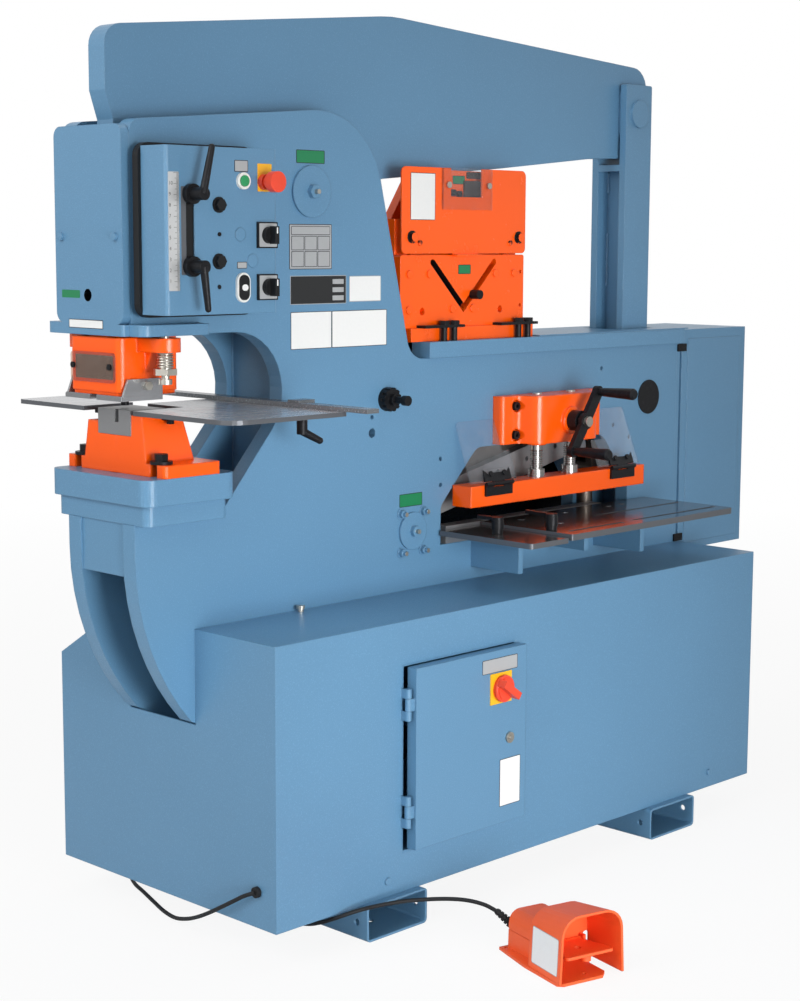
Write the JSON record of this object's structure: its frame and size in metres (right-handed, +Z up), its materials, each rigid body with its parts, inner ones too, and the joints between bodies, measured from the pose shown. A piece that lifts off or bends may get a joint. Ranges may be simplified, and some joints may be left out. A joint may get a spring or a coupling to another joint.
{
  "type": "ironworker machine",
  "caption": "Hydraulic ironworker with C-frame punching station, V-slot angle shear and flat bar shear under a rocker beam, on a steel cabinet with fork tubes and a foot pedal.",
  "frame": {"origin": "on the floor, midway between the anchor holes of the two fork tubes", "axes": "+X along the machine away from the punching end, +Y away from the operator, +Z up"},
  "size_m": [2.067, 1.1899, 1.8988],
  "materials": {
    "blue_paint": "hammered blue-grey enamel",
    "orange_paint": "gloss safety orange enamel",
    "pedal_paint": "satin orange-red enamel",
    "ground_steel": "ground and oiled",
    "blade_steel": "hardened, ground",
    "black_oxide": "black oxide and black enamel",
    "black_plastic": "matte",
    "clear_sheet": "clear polycarbonate",
    "green_plastic": "gloss",
    "red_plastic": "gloss",
    "cord_rubber": "matte"
  },
  "bodies": {
    "machine": {"base_cabinet": "blue_paint", "fork_tubes": "blue_paint", "frame_plate_near": "blue_paint", "frame_plate_far": "blue_paint", "frame_webs": "blue_paint", "die_holder": "orange_paint", "die_block": "ground_steel", "die_bolts": "black_oxide", "punch_tables": "ground_steel", "punch_head": "orange_paint", "sight_windows": "clear_sheet", "stripper": "ground_steel", "head_shroud": "blue_paint", "control_box": "blue_paint", "panel_trim": "black_plastic", "pivot_pins": "blue_paint", "deck_rails": "blue_paint", "end_cover": "blue_paint", "angle_front_plate": "orange_paint", "angle_back_frame": "orange_paint", "angle_guard": "orange_paint", "shear_fasteners": "black_oxide", "lower_blade": "blade_steel", "gear_housing": "orange_paint", "shear_tables": "ground_steel", "hydraulics": "ground_steel", "pedal_body": "pedal_paint", "strain_relief": "cord_rubber", "pedal_cord": "cord_rubber"},
    "beam": {"rocker_beam": "blue_paint", "beam_fittings": "blue_paint"},
    "ram_body": {"ram": "ground_steel", "punch": "blade_steel"},
    "column": {"link_column": "blue_paint"},
    "main_rod": {"cylinder_rod": "ground_steel"},
    "shear_arm": {"shear_beam": "blade_steel", "upper_blade": "blade_steel"},
    "shear_rod_body": {"shear_rod": "ground_steel"},
    "carriage": {"angle_carriage": "orange_paint"},
    "hold_down": {"hold_down_bar": "orange_paint", "jack_screws": "ground_steel", "guard_knuckles": "black_oxide"},
    "crank_body": {"crank": "black_oxide"},
    "guard_l": {"guard_left": "clear_sheet"},
    "guard_r": {"guard_right": "clear_sheet"},
    "door": {"electrical_door": "blue_paint"},
    "isolator": {"isolator_handle": "red_plastic"},
    "latch": {"door_latch": "ground_steel"},
    "start": {"start_button": "green_plastic"},
    "estop": {"estop_button": "red_plastic"},
    "jog": {"jog_rocker": "black_plastic"},
    "select_up": {"selector_upper": "black_plastic"},
    "select_low": {"selector_lower": "black_plastic"},
    "stroke_up": {"lever_upper": "black_plastic"},
    "stroke_low": {"lever_lower": "black_plastic"},
    "fence": {"fence_bar": "ground_steel"},
    "fence_clamp": {"fence_lever": "black_oxide"},
    "stop_l": {"stop_left": "black_oxide"},
    "stop_r": {"stop_right": "black_oxide"},
    "pedal": {"treadle": "pedal_paint"}
  },
  "joints": [
    {"name": "beam_rock", "type": "hinge", "parent": "machine", "child": "beam", "pos_m": [-0.476, 0, 1.516], "axis": [0, -1, 0], "range_deg": [0, 4.5]},
    {"name": "ram_slide", "type": "slide", "parent": "machine", "child": "ram_body", "axis": [0, 0, -1], "range_m": [0, 0.032]},
    {"name": "column_swing", "type": "hinge", "parent": "beam", "child": "column", "pos_m": [0.691, 0, 1.731], "axis": [0, -1, 0], "range_deg": [-3.6, 0]},
    {"name": "rod_slide", "type": "slide", "parent": "machine", "child": "main_rod", "axis": [0, 0, 1], "range_m": [0, 0.092]},
    {"name": "carriage_lift", "type": "slide", "parent": "machine", "child": "carriage", "axis": [0, 0, 1], "range_m": [0, 0.039]},
    {"name": "shear_close", "type": "hinge", "parent": "machine", "child": "shear_arm", "pos_m": [-0.172, 0, 0.78], "axis": [0, 1, 0], "range_deg": [0, 12]},
    {"name": "shear_rod_slide", "type": "slide", "parent": "machine", "child": "shear_rod_body", "axis": [0, 0, -1], "range_m": [0, 0.1542]},
    {"name": "crank_turn", "type": "hinge", "parent": "machine", "child": "crank_body", "pos_m": [0.275, -0.2, 1.003], "axis": [0, -1, 0], "range_deg": [0, 1080]},
    {"name": "hold_down_slide", "type": "slide", "parent": "machine", "child": "hold_down", "axis": [0, 0, -1], "range_m": [0, 0.0351]},
    {"name": "guard_left_swing", "type": "hinge", "parent": "hold_down", "child": "guard_l", "pos_m": [0.047, -0.171, 0.873], "axis": [1, 0, 0], "range_deg": [0, 100]},
    {"name": "guard_right_swing", "type": "hinge", "parent": "hold_down", "child": "guard_r", "pos_m": [0.502, -0.171, 0.873], "axis": [1, 0, 0], "range_deg": [0, 100]},
    {"name": "door_swing", "type": "hinge", "parent": "machine", "child": "door", "pos_m": [-0.443, -0.36, 0.36], "axis": [0, 0, -1], "range_deg": [0, 110]},
    {"name": "isolator_turn", "type": "hinge", "parent": "door", "child": "isolator", "pos_m": [-0.172, -0.3725, 0.469], "axis": [0, 1, 0], "range_deg": [0, 90]},
    {"name": "latch_turn", "type": "hinge", "parent": "door", "child": "latch", "pos_m": [-0.143, -0.3725, 0.355], "axis": [0, 1, 0], "range_deg": [0, 90]},
    {"name": "start_press", "type": "slide", "parent": "machine", "child": "start", "axis": [0, 1, 0], "range_m": [0, 0.003], "stiffness_N_per_m": 400, "springref_m": -0.002},
    {"name": "estop_press", "type": "slide", "parent": "machine", "child": "estop", "axis": [0, 1, 0], "range_m": [0, 0.005]},
    {"name": "jog_press", "type": "slide", "parent": "machine", "child": "jog", "axis": [0, 1, 0], "range_m": [0, 0.0025], "stiffness_N_per_m": 400, "springref_m": -0.002},
    {"name": "selector_upper_turn", "type": "hinge", "parent": "machine", "child": "select_up", "pos_m": [-0.6955, -0.215, 1.427], "axis": [0, -1, 0], "range_deg": [-45, 45]},
    {"name": "selector_lower_turn", "type": "hinge", "parent": "machine", "child": "select_low", "pos_m": [-0.6955, -0.215, 1.327], "axis": [0, -1, 0], "range_deg": [-45, 45]},
    {"name": "stroke_upper_turn", "type": "hinge", "parent": "machine", "child": "stroke_up", "pos_m": [-0.884, -0.215, 1.502], "axis": [0, -1, 0], "range_deg": [-60, 60]},
    {"name": "stroke_lower_turn", "type": "hinge", "parent": "machine", "child": "stroke_low", "pos_m": [-0.884, -0.215, 1.368], "axis": [0, -1, 0], "range_deg": [-60, 60]},
    {"name": "fence_slide", "type": "slide", "parent": "machine", "child": "fence", "axis": [0, 1, 0], "range_m": [-0.05, 0.05]},
    {"name": "fence_clamp_turn", "type": "hinge", "parent": "fence", "child": "fence_clamp", "pos_m": [-0.594, -0.206, 1.06], "axis": [0, 0, 1], "range_deg": [-60, 60]},
    {"name": "stop_left_swing", "type": "hinge", "parent": "machine", "child": "stop_l", "pos_m": [-0.027, -0.231, 0.8], "axis": [0, 0, 1], "range_deg": [-90, 90]},
    {"name": "stop_right_swing", "type": "hinge", "parent": "machine", "child": "stop_r", "pos_m": [0.069, -0.307, 0.8], "axis": [0, 0, 1], "range_deg": [-90, 90]},
    {"name": "treadle_press", "type": "hinge", "parent": "machine", "child": "pedal", "pos_m": [-0.36512, -0.71141, 0.044], "axis": [0.9659, -0.2588, 0], "range_deg": [0, 8], "stiffness_Nm_per_rad": 6, "springref_deg": -11.46}
  ],
  "couplings": [
    {"joint": "ram_slide", "follows": "beam_rock", "m_per_rad": 0.402},
    {"joint": "column_swing", "follows": "beam_rock", "ratio": -0.7917},
    {"joint": "rod_slide", "follows": "beam_rock", "m_per_rad": 1.16},
    {"joint": "carriage_lift", "follows": "beam_rock", "m_per_rad": 0.487},
    {"joint": "shear_rod_slide", "follows": "shear_close", "m_per_rad": 0.7353},
    {"joint": "hold_down_slide", "follows": "crank_turn", "m_per_rad": 0.0018568}
  ]
}
